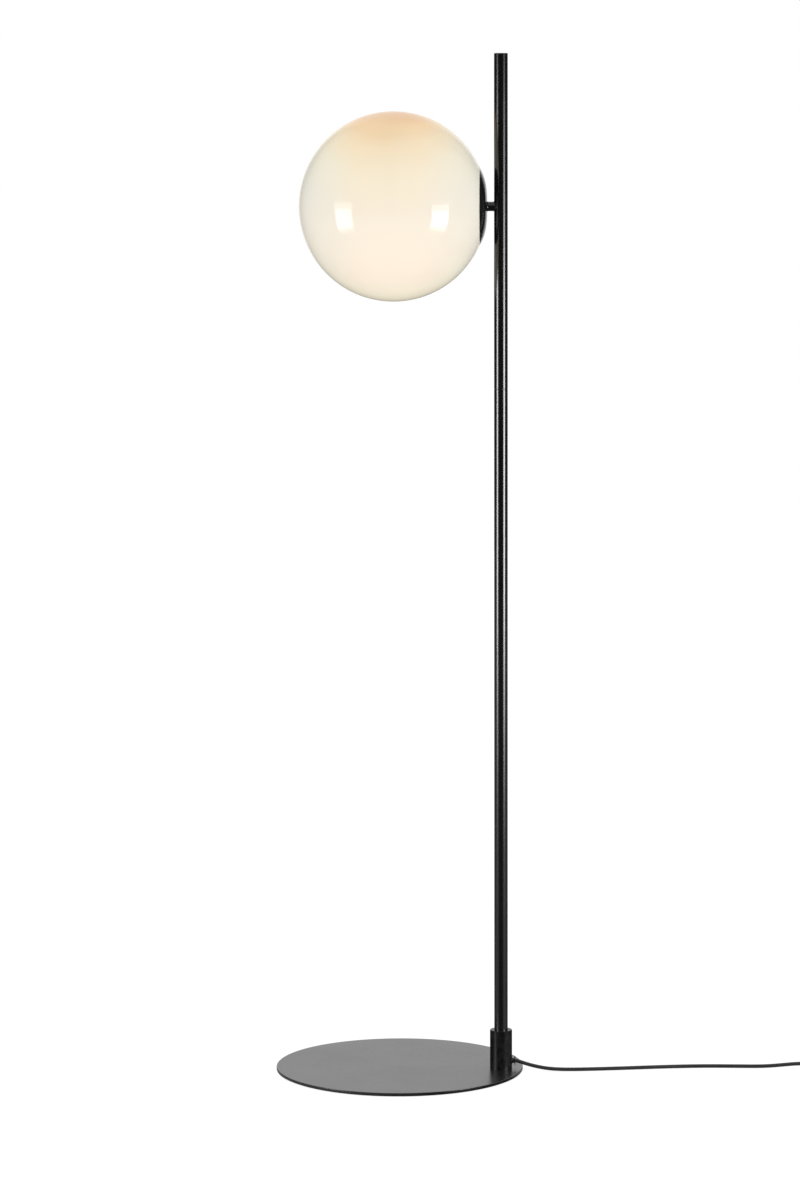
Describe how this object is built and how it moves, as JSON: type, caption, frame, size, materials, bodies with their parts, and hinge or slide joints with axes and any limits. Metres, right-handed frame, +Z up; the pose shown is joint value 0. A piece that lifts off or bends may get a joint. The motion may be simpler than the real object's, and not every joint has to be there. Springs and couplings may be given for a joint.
{
  "type": "globe floor lamp",
  "caption": "Slim floor lamp: an opal glass globe on a short side arm, a straight black stem near the edge of a round steel base, and a mains cord with a foot switch and plug.",
  "frame": {"origin": "on the floor under the centre of the round base", "axes": "+Z up; +X from the globe towards the stem, which is also the way the cord leaves"},
  "size_m": [0.917, 0.33, 1.35],
  "materials": {
    "black_steel": "satin black powder coat",
    "black_foam": "closed-cell foam",
    "zinc_steel": "zinc plated",
    "black_oxide": "black oxide",
    "black_plastic": "fine-grained moulding",
    "black_gloss_plastic": "semi-gloss moulding",
    "clear_silicone": "translucent silicone",
    "spring_steel": "bright spring steel",
    "opal_glass": "glossy opal glass",
    "white_ceramic": "glazed steatite",
    "brass": "bright brass",
    "nickel": "nickel plated",
    "black_glass": "black insulating glass with a solder tip",
    "white_plastic": "white moulding",
    "frosted_plastic": "frosted white",
    "black_pvc": "smooth flexible PVC",
    "core_pvc": "insulated cores",
    "tie_strap": "hook-and-loop strap",
    "black_rubber": "soft feet"
  },
  "bodies": {
    "root": {"base_plate": "black_steel", "base_pad": "black_foam", "base_socket": "black_steel", "socket_screws": "zinc_steel", "grub_screws": "black_oxide", "cord_bushing": "black_plastic", "lower_tube": "black_steel", "lower_tube_bush": "zinc_steel", "tube_nipple": "zinc_steel", "upper_tube_bush": "zinc_steel", "upper_tube": "black_steel", "top_cap": "black_steel", "arm_sleeve": "black_steel", "arm_nipple": "zinc_steel", "globe_cup": "black_steel", "globe_gasket": "clear_silicone", "globe_spring": "spring_steel", "cup_washer": "zinc_steel", "cup_nut": "zinc_steel", "holder_cap": "black_plastic", "holder_body": "black_plastic", "holder_insert": "white_ceramic", "thread_shell": "brass", "centre_contact": "brass", "terminal_screws": "zinc_steel", "inner_flex": "black_pvc", "flex_cores": "core_pvc", "cord_to_switch": "black_pvc", "switch_base": "black_plastic", "switch_cover": "black_plastic", "switch_spring": "spring_steel", "switch_block": "white_plastic", "switch_screws": "zinc_steel", "switch_feet": "black_rubber", "switch_reliefs": "black_pvc", "cord_to_coil": "black_pvc", "cord_coil": "black_pvc", "cord_tie": "tie_strap", "cord_to_plug": "black_pvc", "plug_relief": "black_pvc", "plug_body": "black_gloss_plastic", "plug_pins": "nickel"},
    "globe": {"glass_globe": "opal_glass"},
    "bulb_tip": {"bulb_contact": "black_glass"},
    "bulb": {"bulb_cap": "nickel", "bulb_body": "white_plastic", "bulb_dome": "frosted_plastic"},
    "button": {"switch_button": "black_gloss_plastic"}
  },
  "joints": [
    {"name": "globe_pull", "type": "slide", "parent": "root", "child": "globe", "axis": [-1, 0, 0], "range_m": [0, 0.15]},
    {"name": "bulb_out", "type": "slide", "parent": "root", "child": "bulb_tip", "axis": [-1, 0, 0], "range_m": [0, 0.0219]},
    {"name": "bulb_turn", "type": "hinge", "parent": "bulb_tip", "child": "bulb", "pos_m": [0.0555, -0.013, 1.1515], "axis": [-1, 0, 0], "range_deg": [0, 2160]},
    {"name": "button_press", "type": "slide", "parent": "root", "child": "button", "axis": [0, 0, -1], "range_m": [0, 0.003], "stiffness_N_per_m": 1500, "springref_m": -0.003, "deforming": ["switch_spring"]}
  ],
  "couplings": [
    {"joint": "bulb_out", "follows": "bulb_turn", "m_per_rad": 0.00057773}
  ]
}
